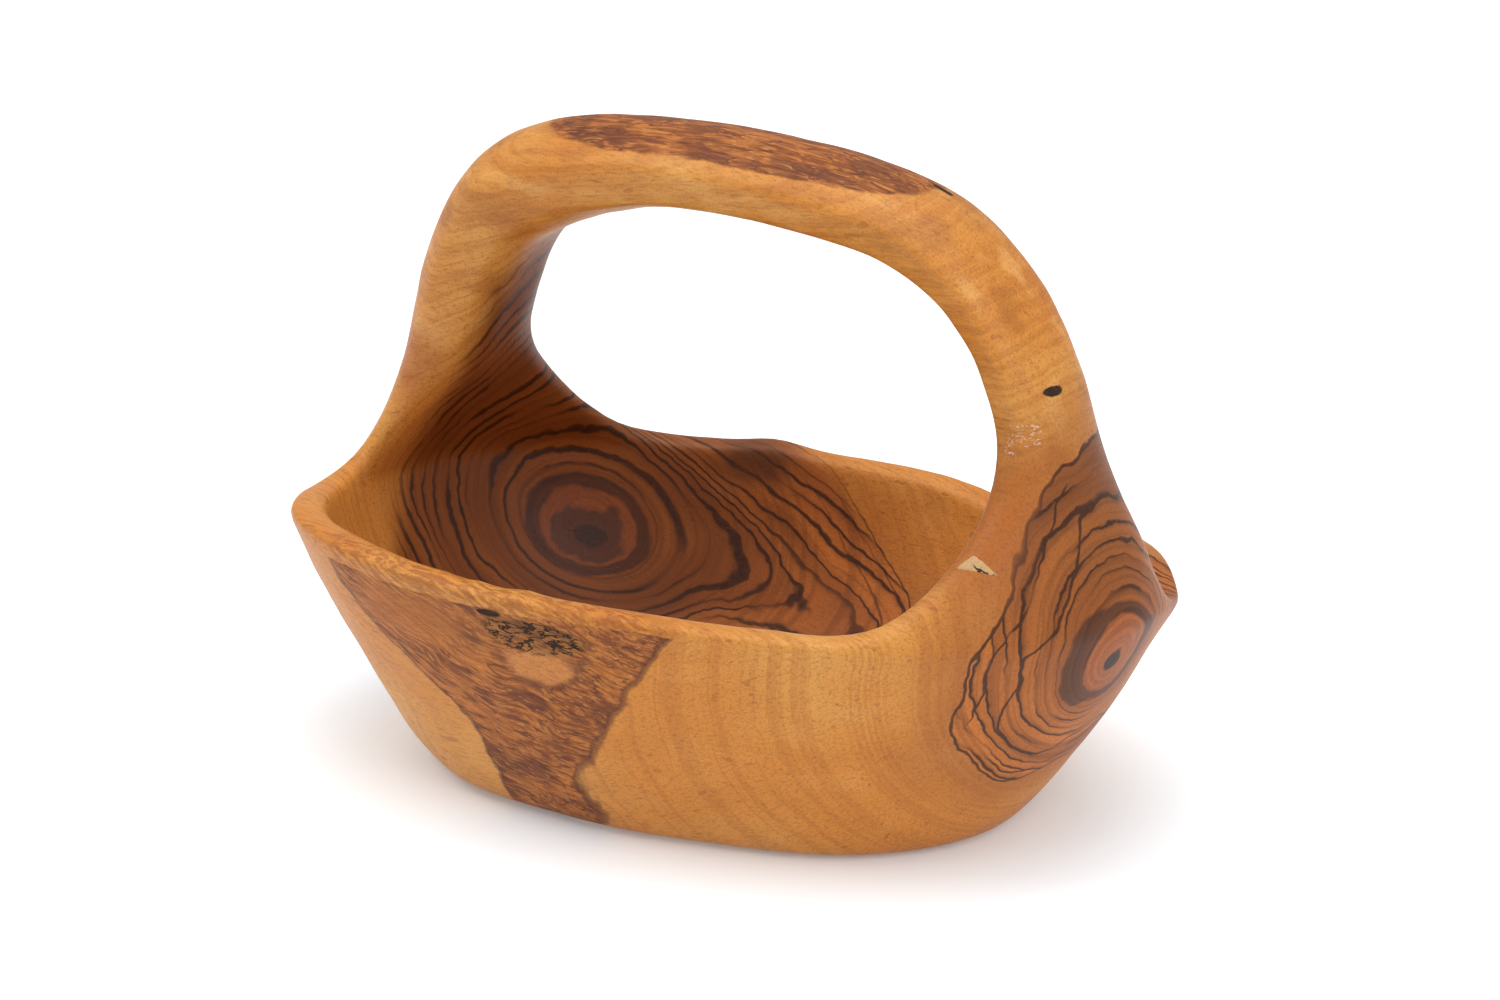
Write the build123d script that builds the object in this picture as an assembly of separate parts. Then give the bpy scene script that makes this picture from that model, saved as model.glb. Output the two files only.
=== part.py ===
from build123d import *
from copy import copy
from math import cos, pi, radians, sin, tan
import os

# Oval wooden bowl with an arched carrying handle, carved from one block of olive wood.
# Millimetres. +X runs along the arch from its left foot to its right foot, +Z is up, and the
# origin is on the flat base, under the middle of the whole bowl.
# The block is drawn as two regions that meet face to face where the feet leave the rim:
# the bowl below and the handle above. A filled void in the right foot is a piece of its own.

# ---- bowl ---------------------------------------------------------------------------------
rim_half_length = 90.0      # long half-axis of the oval where the handle's feet leave it
rim_half_width = 62.5
rim_power = 2.3             # 2 is an ellipse, more is squarer
rim_skew = 16.7             # degrees that the rim's oval is turned from the handle's line
base_half_length = 64.0
base_half_width = 45.5
base_power = 2.15
base_skew = 11.0
base_shift_x = -1.4         # the carved base isn't quite under the rim's middle
base_shift_y = -1.6
wall_bulge = 0.09           # how far the flared wall swells beyond a straight line
wall = 7.0
floor = 8.0
base_edge_radius = 5.0
cove_radius = 14.0          # inner corner between floor and wall
rim_height = 50.0           # at the middle of the handle's feet
rim_tilt = 3.6              # degrees: the rim stands higher at the front than at the back
rim_rounding = 2.5

# ---- handle: pairs are right leg, left leg --------------------------------------------------
overall_height = 131.5
grip_thickness = 14.5
grip_width = 29.0
leg_width = 25.0
leg_set_in = (11.0, 12.5)       # how far in from the oval's tips the legs' outer faces stand
leg_thickness = (13.4, 17.4)
outer_power = (2.65, 3.2)       # how square the arch's outer shoulders are
inner_power = (3.1, 3.0)
foot_long_side = 40.0           # the foot runs this far along the oval's slow side
foot_short_side = 16.0          # and this far towards the oval's tip
outside_flare = 30.0            # heights in which the foot's flares die out
inside_flare = 28.0
long_side_flare = 40.0
short_side_flare = 30.0
foot_ledge = 0.3                # the foot stands in from the faces of the wall
section_power = 3.2             # roundness of the handle's cross-section

# ---- filled void in the right foot ----------------------------------------------------------
filler_angle = 0.09             # how far up the arch from the right foot, in its own angle
filler_turn = radians(-68)      # how far round the section from its outer face
filler_length = 12.0
filler_width = 7.0
filler_depth = 4.5

RIGHT, LEFT = 0, 1
oval_points = 32
loft_steps = 4
quarter_steps = 8
arch_sections = 48
fine_steps = 600


def squared_circle(turn, power):
    """Point of a unit circle made squarer as power grows above 2, in the direction of turn."""
    reach = (abs(cos(turn)) ** power + abs(sin(turn)) ** power) ** (-1 / power)
    return reach * cos(turn), reach * sin(turn)


def closed_spline(points):
    """A smooth closed curve with its points evenly spaced along its parameter."""
    steps = [i / len(points) for i in range(len(points) + 1)]
    return Wire([Edge.make_spline(points, periodic=True, parameters=steps)])


# ---- the oval that the bowl follows ---------------------------------------------------------
def oval_point(turn, z, inset=0.0):
    """Point of the bowl's outline at height z, moved in from the outer face by inset."""
    h = z / rim_height
    opened = h + 4 * wall_bulge * h * (1 - h)
    half_length = base_half_length + (rim_half_length - base_half_length) * opened - inset
    half_width = base_half_width + (rim_half_width - base_half_width) * opened - inset
    power = base_power + (rim_power - base_power) * opened
    skew = radians(base_skew + (rim_skew - base_skew) * opened)
    unit_along, unit_across = squared_circle(turn, power)
    along, across = half_length * unit_along, half_width * unit_across
    x = along * cos(skew) - across * sin(skew) + base_shift_x * (1 - opened)
    y = along * sin(skew) + across * cos(skew) + base_shift_y * (1 - opened)
    return Vector(x, y, z)


def oval(z, inset=0.0):
    turns = [2 * pi * i / oval_points for i in range(oval_points)]
    return closed_spline([oval_point(turn, z, inset) for turn in turns])


def flared_block(bottom, top, inset):
    """The solid inside the bowl's outline from one height to another."""
    rise = (top - bottom) / loft_steps
    return Solid.make_loft([oval(bottom + rise * step, inset) for step in range(loft_steps + 1)])


def round_base(block, radius):
    lowest = block.edges().sort_by(Axis.Z)[0]
    return block.fillet(radius, [lowest])


# ---- bowl -----------------------------------------------------------------------------------
rim_normal = (0, sin(radians(rim_tilt)), cos(radians(rim_tilt)))
rim_plane = Plane(origin=(0, 0, rim_height), x_dir=(1, 0, 0), z_dir=rim_normal)


def turn_at(y):
    """The turn at which the right end of the rim's outline passes through y."""
    low, high = -pi / 2, pi / 3
    for _ in range(40):
        middle = (low + high) / 2
        if oval_point(middle, rim_height).Y < y:
            low = middle
        else:
            high = middle
    return middle


def rim_point(turn, inset):
    """Point of the outline where the tilted rim cuts it."""
    level = oval_point(turn, rim_height, inset)
    return oval_point(turn, rim_height - level.Y * tan(radians(rim_tilt)), inset)


def make_square_bowl():
    """The bowl with its rim still square, all the way round."""
    above_rim = rim_height + rim_half_width * tan(radians(rim_tilt)) + wall
    outside = round_base(flared_block(0, above_rim, 0), base_edge_radius)
    hollow = round_base(flared_block(floor, above_rim, wall), cove_radius)
    reach = 2 * (rim_half_length + rim_half_width)
    waste = rim_plane * Box(reach, reach, above_rim, align=(Align.CENTER, Align.CENTER, Align.MIN))
    return outside - hollow - waste


def foot_zone(side):
    """The space around the top of the wall where one foot grows out of it."""
    sign = 1 if side == RIGHT else -1
    size = (rim_half_length, foot_long_side + foot_short_side, 4 * rim_rounding)
    middle = sign * (foot_short_side - foot_long_side) / 2
    return rim_plane * Pos(sign * (rim_half_length / 2 + wall), middle, 0) * Box(*size)


def make_bowl():
    """The bowl with a rounded rim, left square where the feet grow out of it."""
    square = make_square_bowl()
    rim = square.faces().filter_by(GeomType.PLANE).sort_by(Axis.Z)[-1]
    rounded = square.fillet(rim_rounding, rim.edges())
    right_zone, left_zone = foot_zone(RIGHT), foot_zone(LEFT)
    notched = rounded - right_zone - left_zone
    return notched + (square & right_zone) + (square & left_zone)


# ---- handle ---------------------------------------------------------------------------------
def fade(height, reach):
    """1 where the handle meets the rim, easing to 0 at reach above it."""
    return max(0.0, 1 - height / reach) ** 2


def foot_point(side, across, inset):
    """Point of a foot's print on the rim; across runs from the slow side, -1, to the tip side, 1."""
    y = across * ((foot_short_side if across > 0 else foot_long_side) - foot_ledge)
    return rim_point(turn_at(y) + (0 if side == RIGHT else pi), inset)


def arch_curve(side, spread_angle):
    """Outer and inner faces of the arch without its flares, as X and rise above the feet."""
    rise, spread = sin(spread_angle), abs(cos(spread_angle))
    sign = 1 if side == RIGHT else -1
    arch_height = overall_height - rim_height
    leg_outside = rim_half_length - leg_set_in[side]
    outer_leg = sign * leg_outside
    inner_leg = sign * (leg_outside - leg_thickness[side])
    outer_x = outer_leg * spread ** (2 / outer_power[side])
    outer_rise = arch_height * rise ** (2 / outer_power[side])
    inner_x = inner_leg * spread ** (2 / inner_power[side])
    inner_rise = (arch_height - grip_thickness) * rise ** (2 / inner_power[side])
    return outer_x, outer_rise, inner_x, inner_rise


def even_angles():
    """Angles from the right foot, 0, to the left foot, pi, at even distances along the arch."""
    angles = [pi * i / fine_steps for i in range(fine_steps + 1)]
    lengths = [0.0]
    for first, second in zip(angles, angles[1:]):
        ends = [arch_curve(RIGHT if a <= pi / 2 else LEFT, a) for a in (first, second)]
        middles = [Vector(end[0] + end[2], 0, end[1] + end[3]) / 2 for end in ends]
        lengths.append(lengths[-1] + (middles[1] - middles[0]).length)
    chosen = []
    for i in range(arch_sections + 1):
        goal = lengths[-1] * i / arch_sections
        after = next(k for k in range(1, len(lengths)) if lengths[k] >= goal - 1e-9)
        share = (goal - lengths[after - 1]) / (lengths[after] - lengths[after - 1])
        chosen.append(angles[after - 1] + (angles[after] - angles[after - 1]) * share)
    return chosen


def handle_point(angle, turn):
    """Point of the handle's skin: angle runs over the arch, turn goes round its section."""
    side = RIGHT if angle <= pi / 2 else LEFT
    sign = 1 if side == RIGHT else -1
    outer_x, outer_rise, inner_x, inner_rise = arch_curve(side, angle)
    outward, across = squared_circle(turn, section_power)
    share = (1 + outward) / 2

    outer_foot = foot_point(side, across * sign, foot_ledge)
    inner_foot = foot_point(side, across * sign, wall - foot_ledge)
    outer_leg, _, inner_leg, _ = arch_curve(side, 0)
    outer_x += (outer_foot.X - outer_leg) * fade(outer_rise, outside_flare)
    inner_x += (inner_foot.X - inner_leg) * fade(inner_rise, inside_flare)

    half_width = (grip_width + (leg_width - grip_width) * abs(cos(angle))) / 2
    side_flare = short_side_flare if across * sign > 0 else long_side_flare
    foot_y = inner_foot.Y + (outer_foot.Y - inner_foot.Y) * share
    y = across * half_width
    rise = (outer_rise + inner_rise) / 2
    y += (foot_y - y) * fade(rise, side_flare)
    x = inner_x + (outer_x - inner_x) * share
    z = rim_height + inner_rise + (outer_rise - inner_rise) * share
    z -= y * tan(radians(rim_tilt)) * fade(rise, long_side_flare)
    return Vector(x, y, z)


def section_edge(angle, start):
    """A quarter of the handle's section, smooth with its neighbours."""
    turns = [start + pi / 2 * i / quarter_steps for i in range(quarter_steps + 1)]
    points = [handle_point(angle, turn) for turn in turns]
    nudge = 0.001
    tangents = [handle_point(angle, turn + nudge) - handle_point(angle, turn - nudge)
                for turn in (turns[0], turns[-1])]
    return Edge.make_spline(points, tangents=tangents)


def make_handle():
    """The arch, standing on the square stretches of the rim."""
    corners = [pi / 4 + pi / 2 * i for i in range(4)]
    rings = [Wire([section_edge(angle, corner) for corner in corners]) for angle in even_angles()]
    return Solid.make_loft(rings, ruled=True)


# ---- filled void ----------------------------------------------------------------------------
def skin_plane(angle, turn):
    """A plane lying on the handle's skin, its X up the leg and its Z outwards."""
    step = 0.01
    here = handle_point(angle, turn)
    up = handle_point(angle + step, turn) - here
    around = handle_point(angle, turn + step) - here
    return Plane(origin=here, x_dir=up, z_dir=around.cross(up))


def make_filler_pocket():
    """The ragged hole, as a tapered three-cornered plug from outside the skin to its bottom."""
    plane = skin_plane(filler_angle, filler_turn)
    corners = [(-filler_width / 2, filler_length / 2), (-filler_width / 2, -filler_length / 2),
               (filler_width / 2, -filler_length / 6)]
    outline = fillet(Polygon(*corners, align=None).vertices(), filler_width / 8)
    return extrude(plane * outline, filler_depth, both=True)


def centred(shapes):
    """The shapes moved together so that the middle of the whole stands over the origin."""
    whole = Compound(children=[copy(shape) for shape in shapes]).bounding_box()
    shift = Pos(-whole.center().X, -whole.center().Y, -whole.min.Z)
    return [shift * shape for shape in shapes]


bowl = make_bowl()
handle_block = make_handle()
pocket = make_filler_pocket()
handle = handle_block - pocket
knot_filler = handle_block & pocket

os.makedirs("parts", exist_ok=True)
names = ("bowl", "handle", "knot_filler")
for name, shape in zip(names, centred([bowl, handle, knot_filler])):
    export_step(shape, f"parts/{name}.step")
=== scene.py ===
# %% [markdown]
# # An oval olive-wood bowl with its handle
# The real thing is one block of olive wood, sawn, hollowed and carved by hand, so it has no
# joints to model: the wall of the bowl simply grows up into the two legs of the handle.
# This lesson builds that skin as one subdivision surface, then spends most of its effort on
# the wood: growth rings round a slanting pith, dark heartwood lines, pale sapwood, and the
# rough brown wood just under the bark.
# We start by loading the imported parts, which are our ruler: all that we make must fit them.

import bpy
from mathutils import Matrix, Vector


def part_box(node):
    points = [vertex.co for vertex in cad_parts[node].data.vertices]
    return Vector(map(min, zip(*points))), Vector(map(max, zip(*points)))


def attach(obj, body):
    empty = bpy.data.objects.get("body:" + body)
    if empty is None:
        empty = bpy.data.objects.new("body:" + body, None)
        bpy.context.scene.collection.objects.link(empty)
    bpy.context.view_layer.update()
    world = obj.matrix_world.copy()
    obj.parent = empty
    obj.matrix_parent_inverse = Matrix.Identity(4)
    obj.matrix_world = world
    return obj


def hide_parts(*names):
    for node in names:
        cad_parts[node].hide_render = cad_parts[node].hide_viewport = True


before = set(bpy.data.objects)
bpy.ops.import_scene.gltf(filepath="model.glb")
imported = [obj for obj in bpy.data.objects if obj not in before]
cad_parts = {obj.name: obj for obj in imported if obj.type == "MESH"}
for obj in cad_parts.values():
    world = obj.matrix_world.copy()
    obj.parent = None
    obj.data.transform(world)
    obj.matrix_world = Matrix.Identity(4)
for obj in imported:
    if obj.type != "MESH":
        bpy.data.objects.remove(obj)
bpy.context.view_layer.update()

# %% Units and tools
from math import cos, pi, radians, sin

import bmesh
import bpy
import numpy as np
from mathutils import Matrix, Vector

mm = 0.001

# %% [markdown]
# ## The camera
# A still life like this is taken with a longish lens from a little above the rim, which
# keeps the verticals calm. We place the camera by the direction it looks from, then build its
# rotation from three perpendicular vectors, so that a small roll is easy to add.

# %% Camera
look_at = Vector((2.5, 1.3, 56.8)) * mm
camera_turn, camera_height = radians(33.4), radians(19.95)
camera_distance, camera_roll = 785 * mm, radians(0.61)

toward_camera = Vector((
    sin(camera_turn) * cos(camera_height),
    -cos(camera_turn) * cos(camera_height),
    sin(camera_height),
))
level_right = (-toward_camera).cross(Vector((0, 0, 1))).normalized()
level_up = toward_camera.cross(level_right)
right = level_right * cos(camera_roll) + level_up * sin(camera_roll)
up = toward_camera.cross(right)

camera = bpy.data.objects.new("camera", bpy.data.cameras.new("camera"))
camera.data.lens, camera.data.sensor_width = 94.7, 36
camera.matrix_world = Matrix.Translation(look_at + toward_camera * camera_distance) @ Matrix(
    (right, up, toward_camera)
).transposed().to_4x4()
bpy.context.scene.collection.objects.link(camera)
bpy.context.scene.camera = camera
print("camera stands at", [round(v, 3) for v in camera.matrix_world.translation])

# %% [markdown]
# ## Floor and light
# The bowl stands on a white table against a white background. A broad soft light overhead
# does most of the work, and two smaller ones, from the left and the right front, shape the
# wall and the handle. The table is given a faint glow, painted light that lifts the shadow
# under the bowl, because wood throws orange light on whatever it stands on, and a catalogue
# picture wants a grey shadow. The Standard view shows white as white and keeps the colours of
# the wood as mixed.

# %% Floor
bpy.context.scene.view_settings.view_transform = "Standard"
paper = bpy.data.materials.new("white paper")
paper.use_nodes = True
# the emission is painted light: a faint glow that lightens the shadow on the table
paper_look_and_painted_glow = {
    "Base Color": (0.90, 0.94, 0.97, 1),
    "Roughness": 0.9,
    "Emission Color": (0.9, 0.96, 1.0, 1),
    "Emission Strength": 0.16,
}
for socket_name, value in paper_look_and_painted_glow.items():
    paper.node_tree.nodes["Principled BSDF"].inputs[socket_name].default_value = value

half_floor = 3.0  # metres
floor_mesh = bpy.data.meshes.new("floor")
floor_mesh.from_pydata(
    [(x, y, 0) for x, y in ((-half_floor, -half_floor), (half_floor, -half_floor),
                            (half_floor, half_floor), (-half_floor, half_floor))],
    [], [(0, 1, 2, 3)],
)
floor = bpy.data.objects.new("floor", floor_mesh)
floor_mesh.materials.append(paper)
bpy.context.scene.collection.objects.link(floor)
print("floor", 2 * half_floor, "m across")

# %% Lights
def soft_light(name, place, size, power, target=(0, 0, 0.05)):
    """A square light aimed at the target; places and size in metres, power in watts."""
    light = bpy.data.objects.new(name, bpy.data.lights.new(name, "AREA"))
    light.data.size, light.data.energy = size, power
    light.location = place
    aim = Vector(target) - Vector(place)
    light.rotation_euler = aim.to_track_quat("-Z", "Y").to_euler()
    bpy.context.scene.collection.objects.link(light)


soft_light("window", (-0.8, -0.5, 1.2), 0.8, 6)
soft_light("fill", (1.2, -0.5, 1.1), 0.8, 7)
soft_light("sky", (0.1, 0.1, 3.0), 2.8, 62)
print("lights:", [light.name for light in bpy.data.lights])

# %% [markdown]
# The room itself is white too, but it should light the bowl less strongly than it looks to
# the camera: a half-bright room leaves some shadow, and a full white one is a clean backdrop.
# So the world mixes two backgrounds and asks of each ray whether it comes from the camera.

# %% White room
world = bpy.data.worlds.new("white room")
world.use_nodes = True
nodes, links = world.node_tree.nodes, world.node_tree.links
room_light, backdrop = nodes["Background"], nodes.new("ShaderNodeBackground")
for background, brightness in ((room_light, 0.5), (backdrop, 1.0)):
    background.inputs["Color"].default_value = (1, 1, 1, 1)
    background.inputs["Strength"].default_value = brightness
seen_or_lit = nodes.new("ShaderNodeMixShader")
ray = nodes.new("ShaderNodeLightPath")
links.new(ray.outputs["Is Camera Ray"], seen_or_lit.inputs["Fac"])
links.new(room_light.outputs["Background"], seen_or_lit.inputs[1])
links.new(backdrop.outputs["Background"], seen_or_lit.inputs[2])
links.new(seen_or_lit.outputs["Shader"], nodes["World Output"].inputs["Surface"])
bpy.context.scene.world = world

# %% [markdown]
# ## The skin: one surface from base to grip
# The carver's plan is an oval whose long axis is turned from the handle's line, so that the
# tips of the oval fall in front of the left foot and behind the right one. We could join a
# bowl and a handle with a boolean, but the seam would show. Instead we draw a cage of
# quads, leave a window in the rim at each foot, and let the handle's cage grow from those
# two windows. Subdivision then rounds everything into one flowing surface.
# First come the oval and the way the wall opens as it rises.

# %% The oval plan
# half length and half width in millimetres, squareness, and turn of the long axis in degrees
base_oval = dict(length=64.2, width=45.4, power=2.17, skew=10.9)
rim_oval = dict(length=90.8, width=62.4, power=2.32, skew=16.7)
flare_height, flare_swell = 50.0, 0.09  # where the rim's oval is reached; how full the wall is
base_shift = np.array([-1.45, -1.65])
wall, floor_thickness, rim_round = 7.0, 8.0, 3.0


def signed_power(value, power):
    return np.sign(value) * np.abs(value) ** power


def oval(turn, height, inset=0.0):
    """Points of the bowl's outline at the given heights, moved in by inset, in millimetres."""
    h = np.asarray(height) / flare_height
    opened = h + 4 * flare_swell * h * (1 - h)
    size = {k: base_oval[k] + (rim_oval[k] - base_oval[k]) * opened for k in base_oval}
    along = (size["length"] - inset) * signed_power(np.cos(turn), 2 / size["power"])
    across = (size["width"] - inset) * signed_power(np.sin(turn), 2 / size["power"])
    skew = np.radians(size["skew"])
    x = along * np.cos(skew) - across * np.sin(skew) + base_shift[0] * (1 - opened)
    y = along * np.sin(skew) + across * np.cos(skew) + base_shift[1] * (1 - opened)
    return np.stack([x, y, np.broadcast_to(height, x.shape)], axis=-1)


print("the oval grows from", 2 * base_oval["length"], "to", 2 * rim_oval["length"], "mm long")

# %% [markdown]
# The cage has a column of points wherever the oval needs one: five close together under each
# foot, and seven along each side. The feet are longer on the oval's slow side than towards
# its tip. The two feet are the same, half a turn apart.

# %% Columns round the oval
foot_points, side_points = 5, 7
foot_slow, foot_tip = 39.8, 15.9  # how far a foot reaches to either side of the arch's middle

fine_turn = np.linspace(-1.9, 1.9, 4001)
fine_y = oval(fine_turn, flare_height)[:, 1]
rising = slice(np.argmin(fine_y), np.argmax(fine_y))
foot_y = np.linspace(-foot_slow, foot_tip, foot_points)
right_foot = np.interp(foot_y, fine_y[rising], fine_turn[rising])


def even_turns(start, end):
    """Turns between two columns, at even distances along the rim."""
    turns = np.linspace(start, end, 400)
    steps = np.linalg.norm(np.diff(oval(turns, flare_height), axis=0), axis=1)
    length = np.concatenate([[0], np.cumsum(steps)])
    shares = np.linspace(0, 1, side_points + 2)[1:-1]
    return np.interp(shares * length[-1], length, turns), shares


left_foot = right_foot + pi
back_turns, side_share = even_turns(right_foot[-1], left_foot[0])
front_turns, _ = even_turns(left_foot[-1], right_foot[0] + 2 * pi)
turns = np.concatenate([right_foot, back_turns, left_foot, front_turns])
columns = len(turns)
right_columns = list(range(foot_points))
left_columns = list(range(foot_points + side_points, 2 * foot_points + side_points))
print(columns, "columns round the bowl")

# %% [markdown]
# The rim isn't level. It stands highest along the front, dips along the back, and sweeps
# into the feet, quickly on the tip side and slowly on the other.

# %% Height of the rim
foot_height = {"right": 51.2, "left": 49.5}
front_height, back_height = 55.8, 45.5


def sweep(middle, tip_end, slow_end, tip_reach, slow_reach):
    """Rim heights along a side, from the foot at its tip end to the foot at its slow end."""
    near_tip = np.maximum(0, 1 - side_share / tip_reach) ** 2
    near_slow = np.maximum(0, 1 - (1 - side_share) / slow_reach) ** 2
    return middle + (tip_end - middle) * near_tip + (slow_end - middle) * near_slow


rim = np.concatenate([
    np.full(foot_points, foot_height["right"]),
    sweep(back_height, foot_height["right"], foot_height["left"], 0.27, 0.73),
    np.full(foot_points, foot_height["left"]),
    sweep(front_height, foot_height["left"], foot_height["right"], 0.33, 0.80),
])
print("rim from", round(rim.min(), 1), "to", round(rim.max(), 1), "mm high")

# %% [markdown]
# Now the rings of the bowl, from the middle of the base, out, up the outer wall, over the
# rim and down inside. Two rings close together make a tight corner, and wide gaps make a
# soft one: that is all the rounding a subdivision cage needs.

# %% Rings of the bowl
points, faces = [], []


def add_ring(height, inset):
    start = len(points)
    points.extend(oval(turns, np.broadcast_to(height, turns.shape).astype(float), inset))
    return list(range(start, start + columns))


def join_rings(lower, upper):
    """Quads between two closed rings of the same number of points."""
    for j in range(len(lower)):
        k = (j + 1) % len(lower)
        faces.append((lower[j], lower[k], upper[k], upper[j]))


def inside_height(share):
    """Heights this share of the way from the inner floor up to the rim."""
    return floor_thickness + (rim - floor_thickness) * share


toe_height = 2.0  # where the base turns up into the wall
outer_heights = [toe_height, rim * 0.25, rim * 0.5, rim * 0.75, rim - rim_round, rim]
inner_profile = [  # height and inset, from the rim down to the inner floor
    (rim, wall),
    (rim - rim_round, wall),
    (inside_height(0.72), wall),
    (inside_height(0.42), wall + 1.5),
    (floor_thickness + 2, wall + 7),
    (floor_thickness, wall + 16),
]
base_rings = [add_ring(0.0, inset) for inset in (14, 3)]
outer_rings = [add_ring(height, 0) for height in outer_heights]
inner_rings = [add_ring(height, inset) for height, inset in inner_profile]
base_middle, floor_middle = len(points), len(points) + 1
points.extend([np.array([*base_shift, 0]), np.array([*base_shift, floor_thickness])])

for profile in (base_rings + outer_rings, inner_rings):
    for lower, upper in zip(profile, profile[1:]):
        join_rings(lower, upper)
for j in range(columns):
    k = (j + 1) % columns
    faces.append((base_middle, base_rings[0][k], base_rings[0][j]))
    faces.append((floor_middle, inner_rings[-1][j], inner_rings[-1][k]))
print(len(points), "points and", len(faces), "faces in the bowl's cage")

# %% [markdown]
# The top of the rim closes the wall everywhere except under the feet.

# %% Top of the rim
outer_edge, inner_edge = outer_rings[-1], inner_rings[0]
under_feet = {(j, j + 1) for j in right_columns[:-1] + left_columns[:-1]}
for j in range(columns):
    k = (j + 1) % columns
    if (j, k) not in under_feet:
        faces.append((outer_edge[j], outer_edge[k], inner_edge[k], inner_edge[j]))
print(len(under_feet), "places left open for the feet")

# %% [markdown]
# ## The handle
# The arch is a squared-off curve: a superellipse outside and another inside, each with its
# own squareness, so that the grip is flat-topped and the legs stand nearly upright. Where
# the legs come down they flare out to the size of the foot. Every section has ten points:
# five across its outer face and five across its inner face. For each we say how deep it lies,
# as a share of half the thickness, and how far across, as a share of half the width.

# %% Sizes of the arch
grip_top, grip_under = 131.2, 117.3
leg = {
    "right": dict(outer=79.7, inner=66.1, outer_power=2.65, inner_power=3.10, half_width=12.1),
    "left": dict(outer=78.1, inner=60.4, outer_power=3.19, inner_power=3.00, half_width=12.6),
}
grip_half_width = 14.9
flare_reach = dict(outside=25.0, inside=28.0, tip=18.0, slow=26.3)
deep_outer = np.array([0.28, 1.0, 1.24, 1.0, 0.28])
deep_inner = np.array([0.74, 1.0, 1.0, 1.0, 0.74])
across_outer = np.array([-1.02, -0.66, 0, 0.66, 1.02])
across_inner = np.array([-0.88, -0.5, 0, 0.5, 0.88])
stations = 14
print("grip", round(grip_top - grip_under, 1), "mm thick,", 2 * grip_half_width, "mm wide")

# %% [markdown]
# One function gives the section at any share of the way over the arch. The legs differ a
# little, and the flares fade out as the section rises from its foot.

# %% A section of the arch
def fade(rise, reach):
    """1 at the foot, easing to 0 at the reach."""
    return max(0.0, 1 - rise / reach) ** 2


def arch_section(share):
    """The ten points of the section this share of the way over the arch."""
    angle = pi * share
    side, sign = ("right", 1) if cos(angle) > 0 else ("left", -1)
    size, spread, lift = leg[side], abs(cos(angle)), sin(angle)
    foot = right_columns if side == "right" else left_columns
    start = foot_height[side]
    outer_rise = (grip_top - start) * lift ** (2 / size["outer_power"])
    inner_rise = (grip_under - start) * lift ** (2 / size["inner_power"])
    outer_x = size["outer"] * spread ** (2 / size["outer_power"])
    inner_x = size["inner"] * spread ** (2 / size["inner_power"])
    outer_foot = abs(points[outer_edge[foot[2]]][0])
    inner_foot = abs(points[inner_edge[foot[2]]][0])
    outer_x += (outer_foot - size["outer"]) * fade(outer_rise, flare_reach["outside"])
    inner_x += (inner_foot - size["inner"]) * fade(inner_rise, flare_reach["inside"])
    outer = np.array([sign * outer_x, 0, start + outer_rise])
    inner = np.array([sign * inner_x, 0, start + inner_rise])

    rise = (outer_rise + inner_rise) / 2
    half = grip_half_width + (size["half_width"] - grip_half_width) * spread
    tip = half + (foot_tip - size["half_width"]) * fade(rise, flare_reach["tip"])
    slow = half + (foot_slow - size["half_width"]) * fade(rise, flare_reach["slow"])
    front, back = (-slow, tip) if side == "right" else (-tip, slow)
    middle, thickness = (outer + inner) / 2, (outer - inner) / 2
    outside = middle + np.outer(deep_outer, thickness)
    inside = middle - np.outer(deep_inner, thickness)
    outside[:, 1] = (front + back) / 2 + (back - front) / 2 * across_outer
    inside[:, 1] = (front + back) / 2 + (back - front) / 2 * across_inner
    return np.concatenate([outside, inside[::-1]])


# %% Grow the handle from one foot to the other
def foot_loop(foot):
    return [outer_edge[j] for j in foot] + [inner_edge[j] for j in reversed(foot)]


loops = [foot_loop(right_columns)]
for station in range(1, stations):
    start = len(points)
    points.extend(arch_section(station / stations))
    loops.append(list(range(start, len(points))))
loops.append(foot_loop(left_columns[::-1]))
for lower, upper in zip(loops, loops[1:]):
    join_rings(lower, upper)
print(len(loops), "sections from foot to foot")

# %% [markdown]
# The cage is drawn about the middle of the oval, so we move it to the middle of the parts'
# box, turn it into a mesh in metres and subdivide it. The handle was left with soft ridges
# along its four corners, where flat strokes of the rasp met, so those edges get a little crease.

# %% Cage to surface
plan_centre = np.array([-0.15, -1.27, 0])
corner_points, ridge_sharpness = (0, 4, 5, 9), 0.38

cage = bpy.data.meshes.new("carved_bowl")
cage.from_pydata([tuple(p) for p in (np.array(points) - plan_centre) * mm], [], faces)
skin = bpy.data.objects.new("carved_bowl", cage)
bpy.context.scene.collection.objects.link(skin)

ridge_edges = {
    tuple(sorted((lower[j], upper[j])))
    for lower, upper in zip(loops[1:], loops[2:-1]) for j in corner_points
}
crease = cage.attributes.new("crease_edge", "FLOAT", "EDGE")
for edge in cage.edges:
    if tuple(sorted(edge.vertices)) in ridge_edges:
        crease.data[edge.index].value = ridge_sharpness


def apply_modifiers(obj):
    """Replaces the mesh of an object with what its modifiers make of it."""
    bpy.context.view_layer.update()
    finished = obj.evaluated_get(bpy.context.evaluated_depsgraph_get())
    shaped = bpy.data.meshes.new_from_object(finished)
    obj.modifiers.clear()
    old, obj.data = obj.data, shaped
    bpy.data.meshes.remove(old)


smoothing = skin.modifiers.new("round", "SUBSURF")
smoothing.levels = smoothing.render_levels = 3
apply_modifiers(skin)
print("skin:", len(skin.data.vertices), "points,", len(skin.data.polygons), "faces")

# %% [markdown]
# ## The carver's touches
# A cage made by rule is too regular. The real bowl was shaped by eye with a rasp, so here
# and there it's fuller or thinner than the rule says. Like a sculpting brush, each touch
# moves the points near a place by a push that fades with distance.

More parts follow.
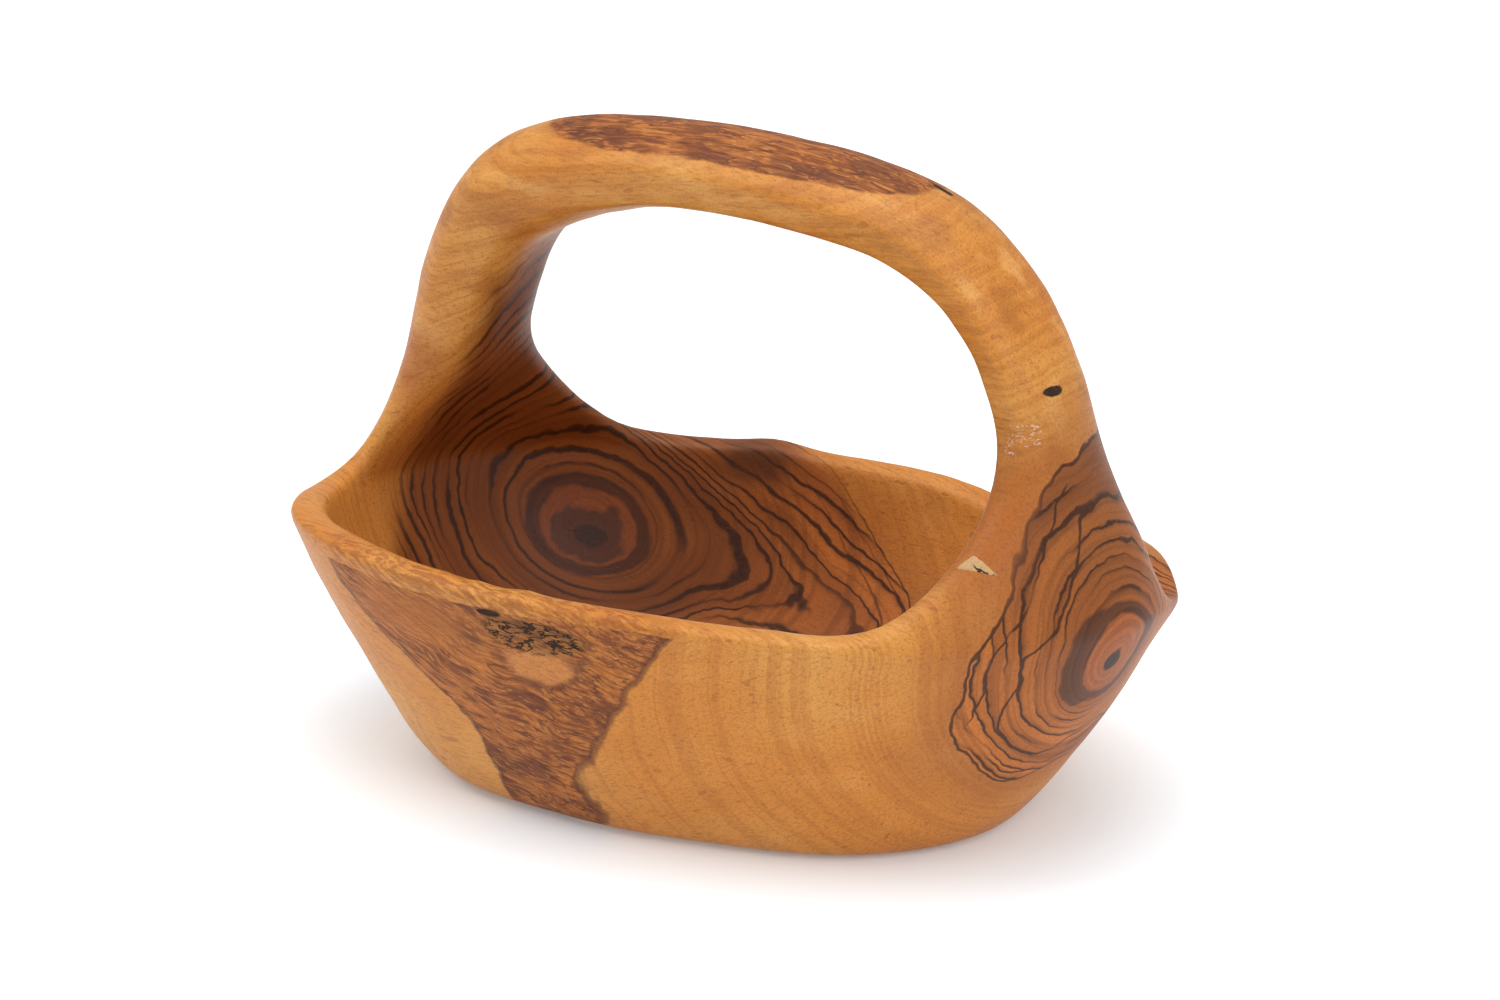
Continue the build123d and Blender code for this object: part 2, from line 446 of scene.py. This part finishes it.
# %% Touches
touches = [  # place, reach and push, in millimetres
    ((-71, -49, 53), 17, (-1.0, -0.6, 0.0)),
    ((-30, -2, 117), 15, (0.0, 0.0, -2.7)),
    ((-30, 0, 132), 13, (0.0, 0.0, 0.9)),
    ((-43, -4, 112), 9, (0.7, 0.0, -1.3)),
    ((-52, 12, 88), 13, (0.8, 0.5, 0.0)),
    ((-46, 34, 52), 13, (0.0, 0.0, -1.3)),
    ((47, 0, 112), 20, (1.3, 0.0, 1.2)),
    ((62, -9, 74), 12, (-1.0, -0.2, 0.0)),
    ((-26, 54, 47), 8, (0.0, 0.0, 1.3)),
    ((33, 57, 46), 16, (0.0, 0.0, -4.4)),
    ((38, 54, 46), 13, (0.0, 0.0, -2.0)),
    ((66, 0, 118), 13, (-0.8, 0.0, -0.7)),
    ((72, 0, 106), 12, (-0.7, 0.0, -0.2)),
    ((-52, 0, 124), 20, (-0.6, 0.0, 0.6)),
    ((79, 34, 51), 12, (0.0, 0.0, -4.0)),
    ((83, 24, 54), 9, (-0.6, 0.0, -2.2)),
    ((83, 9, 62), 11, (1.5, 0.6, 0.0)),
    ((-10, -45, 0), 19, (-1.3, 2.3, 0.0)),
    ((22, -43, 0), 19, (-1.3, 2.3, 0.0)),
]
mesh = skin.data
shape = np.empty(len(mesh.vertices) * 3)
mesh.vertices.foreach_get("co", shape)
shape = shape.reshape(-1, 3) / mm
for place, reach, push in touches:
    distance = np.linalg.norm(shape - np.array(place), axis=1)
    shape += np.exp(-(distance / reach) ** 2)[:, None] * np.array(push)
print(len(touches), "touches")

# %% [markdown]
# Knife and rasp leave long, shallow waves that a hand feels before an eye sees them, and the
# rim is a little scalloped where it runs through the rough wood under the bark. We move
# the points along their normals by a smooth noise, but leave the flat base flat.

# %% Hand-worked waves
from mathutils import noise

wave_height, ruffle_height, rim_start = 0.38, 0.55, 44.0

normals = np.array([v.normal for v in mesh.vertices])
waves = np.array([noise.noise(Vector(p) / 17) + 0.35 * noise.noise(Vector(p) / 6) for p in shape])
ruffle = np.array([noise.noise(Vector((p[0] / 5, 3.1, 0.7))) for p in shape])
bark_rim = np.exp(-((shape[:, 0] + 16) / 24) ** 2)
bark_rim *= (shape[:, 2] > rim_start) * (shape[:, 1] < -45)
above_base = np.clip(shape[:, 2] / 4, 0, 1)
shape += normals * (wave_height * waves * above_base)[:, None]
shape[:, 2] += ruffle_height * ruffle * bark_rim * np.clip((shape[:, 2] - rim_start) / 6, 0, 1)
mesh.vertices.foreach_set("co", (shape * mm).ravel())
for polygon in mesh.polygons:
    polygon.use_smooth = True
mesh.update()
print("waves move the surface by up to", round(wave_height * np.abs(waves).max(), 2), "mm")

# %% [markdown]
# ## Writing shader maths as Python
# Wood needs a lot of arithmetic on values that vary over the surface. Wiring dozens of Math
# nodes by hand is slow to read, so a small class wraps a socket: adding or multiplying
# two fields adds the node that does it. Vectors and colours go through Vector Math and Mix,
# because a Math node would turn them grey.

# %% Fields
class Field:
    """A value, vector or colour that varies over a surface."""

    def __init__(self, recipe, socket):
        self.recipe, self.socket = recipe, socket
        self.wide = socket.type in ("VECTOR", "RGBA")

    def join(self, operation, *values):
        wide = any(isinstance(v, tuple) or getattr(v, "wide", False) for v in values)
        kind = "ShaderNodeVectorMath" if wide else "ShaderNodeMath"
        return self.recipe.node(kind, dict(operation=operation), *values)

    def __add__(self, other): return self.join("ADD", self, other)
    def __radd__(self, other): return self.join("ADD", other, self)
    def __sub__(self, other): return self.join("SUBTRACT", self, other)
    def __rsub__(self, other): return self.join("SUBTRACT", other, self)
    def __mul__(self, other): return self.join("MULTIPLY", self, other)
    def __rmul__(self, other): return self.join("MULTIPLY", other, self)
    def __truediv__(self, other): return self.join("DIVIDE", self, other)
    def __pow__(self, other): return self.join("POWER", self, other)
    def __abs__(self): return self.join("ABSOLUTE", self)

    def at_least(self, other):
        """The larger of the two."""
        return self.join("MAXIMUM", self, other)

    def saw(self):
        """The part after the whole number, rising from 0 to 1 and dropping back."""
        return self.join("FRACT", self)


# %% [markdown]
# A recipe owns one material. Its methods are the few things that every finish here needs:
# a node of any kind, soft noise, an eased step, a mix of two colours and the place on the
# object in millimetres, so that all sizes below can be read off the real bowl.

# %% Recipes
class Recipe:
    """A material and the nodes in it."""

    def __init__(self, name):
        self.material = bpy.data.materials.new(name)
        self.material.use_nodes = True
        self.tree = self.material.node_tree
        self.shader = self.tree.nodes["Principled BSDF"]

    def fill(self, socket, value):
        if isinstance(value, Field):
            self.tree.links.new(value.socket, socket)
        elif socket.type == "RGBA":
            socket.default_value = (*value, 1)
        elif socket.type == "VECTOR" and not isinstance(value, tuple):
            socket.default_value = (value, value, value)
        else:
            socket.default_value = value

    def node(self, kind, settings, *values, output=None, **named):
        """Adds a node: settings first, then its sockets in order or by name."""
        made = self.tree.nodes.new(kind)
        for key, value in settings.items():
            setattr(made, key, value)
        sockets = [socket for socket in made.inputs if socket.enabled]
        for socket, value in zip(sockets, values):
            self.fill(socket, value)
        for name, value in named.items():
            self.fill(made.inputs[name.replace("_", " ")], value)
        outputs = [socket for socket in made.outputs if socket.enabled]
        return Field(self, made.outputs[output] if output else outputs[0])

    def noise(self, place, size, detail=2.0, roughness=0.5, output="Fac"):
        """Soft noise from 0 to 1 whose lumps are about size long."""
        return self.node("ShaderNodeTexNoise", {}, Vector=place, Scale=1 / size, Detail=detail,
                         Roughness=roughness, output=output)

    def step(self, value, low, high):
        """Eases from 0 at low to 1 at high; low may be the larger of the two."""
        return self.node("ShaderNodeMapRange", dict(interpolation_type="SMOOTHSTEP"),
                         Value=value, From_Min=low, From_Max=high)

    def mix(self, mask, first, second):
        """First colour where the mask is 0, second where it's 1."""
        return self.node("ShaderNodeMix", dict(data_type="RGBA"), mask, first, second)

    def vector(self, x, y, z):
        return self.node("ShaderNodeCombineXYZ", {}, x, y, z)

    def split(self, vector):
        made = self.tree.nodes.new("ShaderNodeSeparateXYZ")
        self.fill(made.inputs[0], vector)
        return [Field(self, socket) for socket in made.outputs]

    def place_in_mm(self):
        """Where each point is on the object, in millimetres."""
        return self.node("ShaderNodeTexCoord", {}, output="Object") * 1000.0


def colour(red, green, blue):
    """A colour given as on a screen, 0 to 255, turned into the linear one that shaders use."""
    return tuple(((c / 255 + 0.055) / 1.055) ** 2.4 for c in (red, green, blue))


print("a middle grey on a screen is", round(colour(128, 128, 128)[0], 3), "to a shader")

# %% [markdown]
# ## Olive wood
# A board shows lines because it's a slice through a tree. We do the same: the material is
# a solid piece of trunk, and the surface only shows where it cuts through it. The pith runs
# along the bowl, a little slanted, and comes out at both ends, so each end shows a swirl of
# rings while the long sides show stretched streaks. Rings are the distance from the
# pith line, drifting more the further out they are, and wider above the pith than below.

# %% Rings round the pith
wood = Recipe("oiled olive wood")
place = wood.place_in_mm()
x, y, z = wood.split(place)

pith_end, pith_y, pith_z = 85.65, 0.07, 42.3
back_slope, down_slope = 0.19, 0.093
to_end = pith_end - x
back, rise = y - pith_y - to_end * back_slope, z - pith_z + to_end * down_slope
plain_distance = (back * back + rise * rise) ** 0.5

drift_width, wider_above = 22.0, 0.29
drift = wood.noise(place, 40, detail=1.0, output="Color") - (0.5, 0.5, 0.5)
drift_back, drift_rise, _ = wood.split(drift)
far_out = wood.step(plain_distance, 8, 60)
back = back + drift_back * far_out * drift_width
rise = rise + drift_rise * far_out * drift_width
distance = (back * back + rise * rise) ** 0.5
wiggle = wood.noise(place, 9, detail=2.0) - 0.5
jitter = wood.step(plain_distance, 7, 20)
left_end = wood.step(x, 40, -50)
lean_back = wood.step(back, 8, 30) * wood.step(x, 60, 20) * (z - 32.0) * 0.75
fret = wood.noise(place, 2.6, detail=1.0) - 0.5
ring = distance - rise * wider_above + (wiggle * 2.8 + fret * 0.9) * jitter + lean_back
print("the pith slants back by", back_slope, "and down by", down_slope, "per millimetre")

# %% [markdown]
# Olive's dark lines are thin and roughly parallel, but their spacing changes, some fade out
# for a stretch, and the wood darkens gently towards each one. A saw-tooth of the ring
# distance gives all three: a line runs halfway up each tooth, the slope before it is the
# shading, and a noise along the ring decides how strong each line is.

# %% Dark heartwood lines
def contour(field, level, width):
    """1 along the line where the field passes a level, easing to 0 each side."""
    return wood.step(abs(field - level), width, width * 0.3)


broad = wood.noise(wood.vector(ring / 9.0, back / 90 + x / 60, rise / 90), 1.0, detail=1.0)
line_spacing = 2.4
line_number = ring / line_spacing + broad * 3.0
tooth = line_number.saw()
along_line = wood.vector(line_number * 0.8, back / 26, rise / 26 + x / 40)
strength = wood.step(wood.noise(along_line, 1.0, detail=1.0), 0.36, 0.58)
lines = contour(tooth, 0.5, 0.15 + left_end * 0.08) * strength
shading = (wood.step(tooth, 0.0, 0.5) * wood.step(tooth, 0.56, 0.5)) ** 2.0
print("a dark line about every", line_spacing, "mm")

# %% [markdown]
# The heartwood ends at a ring too, but not a round one: at the right end its border has a
# notch above and a swelling below, and at the left end it is cut off by a slanting plane.
# Two more fine lines run just inside the border.

# %% Border of the heartwood
notch = wood.step((rise * 0.74 - back * 0.67) / distance, 0.82, 1.0)
swelling = wood.step((back * -0.74 - rise * 0.67) / distance, 0.7, 1.0)
behind = wood.step(back, 5, 25) * wood.step(x, 52, 70)
right_edge = 29.0 - notch * 5.5 + swelling * 5.0 + behind * 12.0
heart_edge = right_edge * (1 - left_end) + left_end * 55.0
left_front = x * -0.6 - y * 0.8 - 56.0 + (z - 42.0) * 0.33
past_edge = ring - heart_edge
past_edge = past_edge.at_least(left_front - (1 - left_end) * 99.0)
heart = wood.step(past_edge + left_end * 2.0, 0.4 + left_end * 4.0, -0.4 - left_end * 4.0)
edge_line = contour(past_edge, 0.0, 0.42) * (1 - left_end)
inner_lines = contour(past_edge, -7.6, 0.45) + contour(past_edge, -2.4, 0.32) * strength
inner_lines = inner_lines * (1 - left_end)
print(len(wood.tree.nodes), "nodes so far")

# %% [markdown]
# The middle of the swirl is reddish, with a near-black wedge at the pith and a broad dark
# band round it. The band is widest on the side towards the front.

# %% The core
lumpy = wood.noise(place, 7, detail=2.0) - 0.5
core_ring = plain_distance - rise * 0.22 + lumpy * 3.0
front_side = wood.step(back / (plain_distance + 1.0), -0.2, -0.9)
band_least, band_more = 1.5, 3.4
band_width = band_least + front_side * (1 - left_end * 0.75) * band_more
core = wood.step(core_ring, 8.2, 7.4)
band = wood.step(core_ring, 7.3, 8.2) * wood.step(core_ring - band_width, 8.9, 8.1)
wedge = wood.step(plain_distance + lumpy * 6.0, 2.4, 1.5)
past_band = wood.step(core_ring - band_width, 9.4, 11.0)
dark = wood.step((lines + inner_lines) * heart * past_band + edge_line, 0.0, 1.0)
left_blob = wood.step(plain_distance + lumpy * 9.0, 6.4, 5.0) * left_end
print("the band is", band_least, "to", band_least + band_more, "mm wide")

# %% [markdown]
# Outside the heartwood lies the golden sapwood. Its rings are fine and faint, a fraction of
# a millimetre, with short dark flecks where pores and rays are cut.

# %% Sapwood figure
calm_ring = plain_distance - (z - pith_z) * 0.25 + wiggle * 1.2
pores = wood.noise(place, 0.38, detail=1.0)
fine_place = wood.vector(calm_ring / 0.9, y / 60, x / 80)
fine_rings = wood.noise(fine_place, 1.0, detail=2.0, roughness=0.6)
cloud = wood.noise(place, 42, detail=2.0)
grain_place = wood.vector(x * 0.16, y - to_end * back_slope, z + to_end * down_slope)
fibres = wood.noise(grain_place, 0.55, detail=2.0, roughness=0.6)
streaks = wood.noise(wood.vector(x * 0.30 + z * 0.05, y, z), 8, detail=2.0, roughness=0.55)
flecks = wood.step(wood.noise(grain_place + (31.0, 5.0, 9.0), 1.1, detail=0.0), 0.74, 0.80)
print(len(wood.tree.nodes), "nodes so far")

# %% [markdown]
# Just under the bark the wood is brown, stringy and uneven. The block was taken right up to
# the bark, and the carver's curves cut into this zone twice: on the front wall and along
# the top of the handle. On the wall a thin dark line marks its border.

# %% Where the bark zone shows
ragged = wood.noise(place, 6, detail=3.0, roughness=0.6) - 0.5
left_border = -22.5 - wood.step(z, 18, 52) * 32.0
from_left = x - left_border + ragged * 4.0
from_pith = plain_distance + ragged * 2.0 - 70.3 + wood.step(z, 16, 2) * 2.0
outer_front = wood.step(y, -36, -40)
rim_band = wood.step(z + ragged * 2.5, 51.0, 51.6) * outer_front
rim_band = rim_band * wood.step(from_left, -2.0, 3.0) * wood.step(from_pith, -2.0, 3.0)
outer_front = outer_front * wood.step(z + ragged * 2.5, 51.6, 51.0)
front_patch = wood.step(from_left, -0.4, 0.4) * wood.step(from_pith, -0.3, 0.3) * outer_front
front_line = (contour(from_left, 0.0, 0.8) * wood.step(from_pith, -0.5, 0.5)
              + contour(from_pith, 0.0, 0.6) * wood.step(from_left, -0.5, 0.5)) * outer_front
along_top, across_top = abs(x + 1.5) / 43.0, abs(y - 4.0) / 14.5
top_shape = along_top ** 3.0 + across_top ** 3.0 + ragged * 0.3
top_patch = wood.step(top_shape, 1.12, 0.94) * wood.step(z, 118, 121)
under_bark = wood.step(front_patch + top_patch, 0.0, 1.0)

# %% [markdown]
# Inside that zone the grain is a tangle of short strings that curl a little, darker in
# blotches, with thin brown veins and pale dashes. Each is a noise squeezed in one direction.

# %% Wood under the bark
lean = wood.step(z, 90, 60) * 0.42
curl = wood.noise(place, 13, detail=1.0) - 0.5
stringy_place = wood.vector((x - z * lean) * 0.12, y * 0.9, z + x * lean + curl * 7.0)
strings = wood.noise(stringy_place, 0.9, detail=3.0, roughness=0.6)
blotches = wood.noise(wood.vector(x * 0.45, y, z + x * lean), 6, detail=2.0, roughness=0.5)
veins = contour(wood.noise(stringy_place + (1.0, 2.0, 9.0), 2.4, detail=2.0), 0.52, 0.035)
dashes = wood.step(wood.noise(stringy_place + (3.0, 8.0, 2.0), 0.6, detail=1.0), 0.63, 0.70)
print(len(wood.tree.nodes), "nodes so far")

# %% [markdown]
# One more thing sits in the front patch: a pocket of bark that the tree grew round. It
# shows as jagged dark cracks above a pale oval of newer wood. Small knots and stains
# are spots with a place, a size and a ragged edge.

# %% Spots and cracks
def spot(middle, size, edge=0.25, ragged_by=0.6):
    """1 inside an ellipsoid with a ragged edge; middle and size in millimetres."""
    away = (place - middle) / size
    distance = wood.node("ShaderNodeVectorMath", dict(operation="LENGTH"), away, output="Value")
    return wood.step(distance + ragged * ragged_by, 1 + edge, 1 - edge)


pocket = spot((-4.5, -62.5, 46.8), (11.0, 9.0, 3.6))
cracks = wood.noise(wood.vector(x * 0.6, 0.0, z * 1.5), 3.0, detail=3.0, roughness=0.65)
pocket_cracks = pocket * contour(cracks, 0.5, 0.055)
slit = spot((-12.8, -64.0, 50.6), (2.6, 6.0, 0.7), ragged_by=0.3)
pale_oval = spot((-3.5, -62.0, 40.2), (7.4, 9.0, 3.7), ragged_by=1.3)
oval_edge = spot((-3.0, -62.0, 39.4), (8.4, 9.0, 4.4), ragged_by=1.3) * (1 - pale_oval)
smooth_area = spot((-33.0, -60.0, 45.5), (15.0, 14.0, 5.5), edge=0.5)
pin_knot = spot((73.2, -4.4, 94.6), (3.0, 2.4, 0.9), ragged_by=1.2)
pin_knot = wood.step(pin_knot + spot((76.0, 3.5, 96.0), (2.0, 1.2, 0.6)) * 0.6, 0.0, 1.0)
stain = spot((-28.0, 49.5, 44.5), (7.5, 8.0, 4.2), edge=0.5)
leg_blush = spot((-74.0, -13.0, 76.0), (9.0, 9.0, 7.0), edge=0.6)
foot_blush = spot((69.0, -17.0, 69.0), (14.0, 12.0, 13.0), edge=0.7)
scratch = spot((70.3, -11.0, 86.4), (5.0, 5.0, 3.4)) * contour(cracks + z * 0.03, 3.12, 0.012)
end_crack = spot((40.5, 6.0, 126.0), (5.5, 7.0, 0.9), ragged_by=0.4)
end_crack = end_crack * wood.step(abs(y - 5.5), 1.2, 0.5)
black = wood.step(pocket_cracks + slit + pin_knot + end_crack, 0.0, 1.0)
print(len(wood.tree.nodes), "nodes so far")

# %% [markdown]
# Now the colours, laid over each other like glazes. Each coat has a mask that says where it
# goes and how thick it lies, and the last one is on top. The sapwood is honey-coloured,
# with redder clouds, browner fine rings, and a brown halo where it meets the heartwood.

# %% Sapwood colour
def glaze(base, coats):
    """Lays coats over a base, each a mask and a colour."""
    for mask, coat in coats:
        base = wood.mix(mask, base, coat)
    return base


streak_depth = wood.step(z, 55, 85) * 0.34 + 0.12  # streaks show most on the handle
halo = wood.step(past_edge, 13, 0) * (1 - left_end)
sap = glaze(colour(210, 149, 74), [
    (wood.step(cloud, 0.35, 0.66), colour(200, 127, 52)),
    (wood.step(fine_rings, 0.45, 0.60) * 0.32, colour(166, 94, 36)),
    (flecks * 0.4, colour(140, 78, 34)),
    (wood.step(streaks, 0.52, 0.70) * streak_depth, colour(156, 90, 34)),
    (wood.step(streaks, 0.46, 0.30) * streak_depth, colour(226, 170, 98)),
    (halo * 0.62, colour(154, 86, 40)),
])

# %% [markdown]
# The heartwood is redder and darkens towards each line and towards the top of the swirl. At
# the left end, inside the bowl, it is darker still: partly a browner tone, partly painted
# shade. Its core is the reddest, and the spots come last.

# %% Heartwood colour
# darker towards the left end, where the heartwood lies inside the bowl: partly a browner tone,
# partly painted shade
deep_tone_and_shade = wood.step(x, -5, -40)
heart_tone = glaze(colour(158, 88, 38), [
    (wood.step(broad, 0.4, 0.62), colour(190, 110, 46)),
    (wood.step(cloud, 0.55, 0.4) * 0.45, colour(134, 76, 34)),
    (shading * 0.7 * (strength * 0.6 + 0.4), colour(78, 42, 20)),
    (wood.step(rise, 8, 34) * (1 - left_end) * 0.45, colour(92, 50, 24)),
    (wood.step(fine_rings, 0.45, 0.62) * 0.35, colour(92, 50, 24)),
    # painted shade in part: the heartwood darkened at the left end, inside the bowl
    (deep_tone_and_shade * 0.6, colour(100, 50, 18)),
])
core_tone = glaze(colour(164, 91, 45), [(wood.step(fine_rings, 0.4, 0.6), colour(146, 79, 38))])
body = glaze(sap, [
    (heart, heart_tone),
    (core, core_tone),
    # the core darkened at the left end too, partly painted shade
    (core * deep_tone_and_shade * 0.4, colour(108, 56, 30)),
    (band * (0.62 + fine_rings * 0.45), colour(70, 40, 28)),
    (dark * 0.88, colour(50, 28, 18)),
    (wedge, colour(52, 36, 32)),
    (left_blob * 0.75, colour(66, 44, 38)),
    (stain * 0.7, colour(74, 42, 26)),
    (leg_blush * 0.5, colour(160, 84, 38)),
    (foot_blush * (1 - heart) * 0.6, colour(164, 88, 34)),
    (scratch * 0.7, colour(232, 208, 190)),
])

# %% [markdown]
# Under the bark the same glazes go from dark brown blotches and veins to pale dashes. Last of
# all come the pocket's pale oval and cracks, then fibres and pores over everything.

# %% Bark-zone colour
bark_tone = glaze(colour(182, 110, 48), [
    (wood.step(strings, 0.36, 0.62), colour(128, 68, 30)),
    (wood.step(blotches, 0.52, 0.66) * 0.65, colour(92, 44, 28)),
    (wood.step(blotches, 0.46, 0.34) * 0.5, colour(188, 112, 46)),
    (veins * 0.7, colour(84, 40, 26)),
    (dashes * 0.55, colour(202, 138, 74)),
    (smooth_area * 0.7, wood.mix(strings, colour(190, 116, 50), colour(150, 82, 34))),
])
body = glaze(body, [
    (under_bark, bark_tone),
    (rim_band * wood.step(strings, 0.40, 0.58) * 0.6, colour(142, 74, 34)),
    (front_line * 0.65, colour(84, 44, 28)),
    (pale_oval * 0.8, wood.mix(strings, colour(206, 138, 74), colour(188, 116, 60))),
    (oval_edge * 0.6, colour(92, 50, 28)),
    (pocket * 0.35, colour(104, 76, 34)),
    (black, colour(38, 26, 18)),
    (wood.step(fibres, 0.46, 0.70) * 0.26, colour(112, 60, 26)),
    (wood.step(pores, 0.50, 0.68) * 0.20, colour(84, 46, 22)),
])
print(len(wood.tree.nodes), "nodes so far")

# %% [markdown]
# Oil soaks into the softer wood and leaves the dense dark lines smoother, so the roughness
# follows the figure. The bump is tiny: fibres and pores everywhere, coarser strings under
# the bark, and real depth only in the cracks.

# %% Sheen and relief
roughness = (0.44 + (fibres - 0.5) * 0.16 + (cloud - 0.5) * 0.12 - dark * 0.06
             + under_bark * 0.10 + black * 0.25)
relief = (fibres * 0.6 - pores * 0.5 + fine_rings * 0.35 - flecks * 0.7 - dark * 0.25
          + under_bark * (strings * 2.4 + blotches * 1.4) - black * 3.0 - pocket * ragged * 2.0)
bump = wood.node("ShaderNodeBump", {}, Strength=0.55, Distance=0.0001, Height=relief)
wood.fill(wood.shader.inputs["Base Color"], body)
wood.fill(wood.shader.inputs["Roughness"], roughness)
wood.fill(wood.shader.inputs["Normal"], bump)
wood.fill(wood.shader.inputs["Specular IOR Level"], 0.22)
skin.data.materials.append(wood.material)
print(len(wood.tree.nodes), "nodes in the wood")

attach(skin, "root")
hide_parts("bowl", "handle")

# %% [markdown]
# ## The filled void
# Where the right leg leaves the rim, a small ragged hole was filled with pale putty, and
# the putty has shrunk from a crack at one end. It's a piece of its own: a three-cornered
# patch laid on the wood, built as rings of points from its middle outwards. Each point is
# dropped onto the skin along the patch's own normal. The middle stands a hair proud, and
# the outermost ring dips under the wood, so no gap shows.

# %% Where the filler lies
from mathutils.bvhtree import BVHTree

skin_tree = BVHTree.FromObject(skin, bpy.context.evaluated_depsgraph_get())
low, high = (Vector(corner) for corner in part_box("knot_filler"))
toward_rim = Vector((-2.4, 0.0, 2.2)) * mm
patch_middle, filler_out, _, _ = skin_tree.find_nearest((low + high) / 2 + toward_rim)
up_the_leg = (Vector((0, 0, 1)) - filler_out * filler_out.z).normalized()
sideways = up_the_leg.cross(filler_out)
corners = [Vector((-3.8, -1.6)), Vector((5.0, -1.9)), Vector((-0.6, 1.5))]


def triangle_edge(turn):
    """Distance from the middle to the rounded triangle's edge, in the direction of turn."""
    heading = Vector((cos(turn), sin(turn)))
    reaches = []
    for start, end in zip(corners, corners[1:] + corners[:1]):
        normal = Vector(((end - start).y, -(end - start).x)).normalized()
        facing = heading.dot(normal)
        if facing > 0.05:
            reaches.append(start.dot(normal) / facing)
    return sum(reach ** -5 for reach in reaches) ** -0.2


print("filler sits at", [round(v / mm, 1) for v in patch_middle])

# %% Filler
patch_rings, round_count = 7, 36  # the last ring is the one that dips under the wood
proud, tucked, lump_height, root_depth = 0.16, -0.5, 0.05, 2.5

filler_mesh = bmesh.new()
rings = []
for i in range(1, patch_rings + 1):
    share = i / (patch_rings - 1)
    height = proud * (1 - share ** 6) if share <= 1 else tucked
    loop = []
    for j in range(round_count):
        turn = 2 * pi * j / round_count
        raggedness = 1 + 0.07 * noise.noise(Vector((3 * cos(turn), 3 * sin(turn), 5)))
        reach = triangle_edge(turn) * share * raggedness
        start = patch_middle + (sideways * cos(turn) + up_the_leg * sin(turn)) * reach * mm
        hit, normal, _, _ = skin_tree.ray_cast(start + filler_out * 4 * mm, -filler_out)
        lumps = lump_height * noise.noise(start * 1400)
        loop.append(filler_mesh.verts.new(hit + normal * (height + lumps) * mm))
    rings.append(loop)
centre = filler_mesh.verts.new(patch_middle + filler_out * proud * mm)
bottom = filler_mesh.verts.new(patch_middle - filler_out * root_depth * mm)
for j in range(round_count):
    k = (j + 1) % round_count
    filler_mesh.faces.new((centre, rings[0][j], rings[0][k]))
    filler_mesh.faces.new((bottom, rings[-1][k], rings[-1][j]))
    for inner, outer in zip(rings, rings[1:]):
        filler_mesh.faces.new((inner[j], outer[j], outer[k], inner[k]))
bmesh.ops.recalc_face_normals(filler_mesh, faces=filler_mesh.faces)
putty_mesh = bpy.data.meshes.new("putty_filler")
filler_mesh.to_mesh(putty_mesh)
filler = bpy.data.objects.new("putty_filler", putty_mesh)
bpy.context.scene.collection.objects.link(filler)
for polygon in putty_mesh.polygons:
    polygon.use_smooth = True
print("filler:", len(putty_mesh.polygons), "faces")

# %% [markdown]
# The putty is glue and sawdust: pale, speckled, rougher than the oiled wood. A jagged black
# crack follows a zigzag line across the patch, but only on its far side.

# %% Putty
putty = Recipe("pale putty")
place = putty.place_in_mm()
px, py, pz = putty.split(place)
speckle = putty.noise(place, 0.5, detail=3.0, roughness=0.7)
zigzag = putty.noise(place, 1.4, detail=2.0) - 0.5
middle_x, middle_y, middle_z = patch_middle / mm
along_crack = px - middle_x
across_crack = pz - (middle_z - 0.6) + zigzag * 3.0 + along_crack * 0.45
outward = px + py * 0.3
outward_middle = middle_x + middle_y * 0.3
far_side = putty.step(outward, outward_middle - 0.6, outward_middle + 0.4)
jag = putty.step(abs(across_crack), 0.40, 0.22) * far_side
putty_colour = putty.mix(speckle, colour(206, 170, 118), colour(168, 126, 78))
putty_colour = putty.mix(jag, putty_colour, colour(34, 24, 18))
grit = putty.node("ShaderNodeBump", {}, Strength=0.6, Distance=0.0002, Height=speckle - jag * 2.0)
putty.fill(putty.shader.inputs["Base Color"], putty_colour)
putty.fill(putty.shader.inputs["Roughness"], 0.6 + speckle * 0.2)
putty.fill(putty.shader.inputs["Normal"], grit)
putty_mesh.materials.append(putty.material)

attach(filler, "root")
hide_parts("knot_filler")
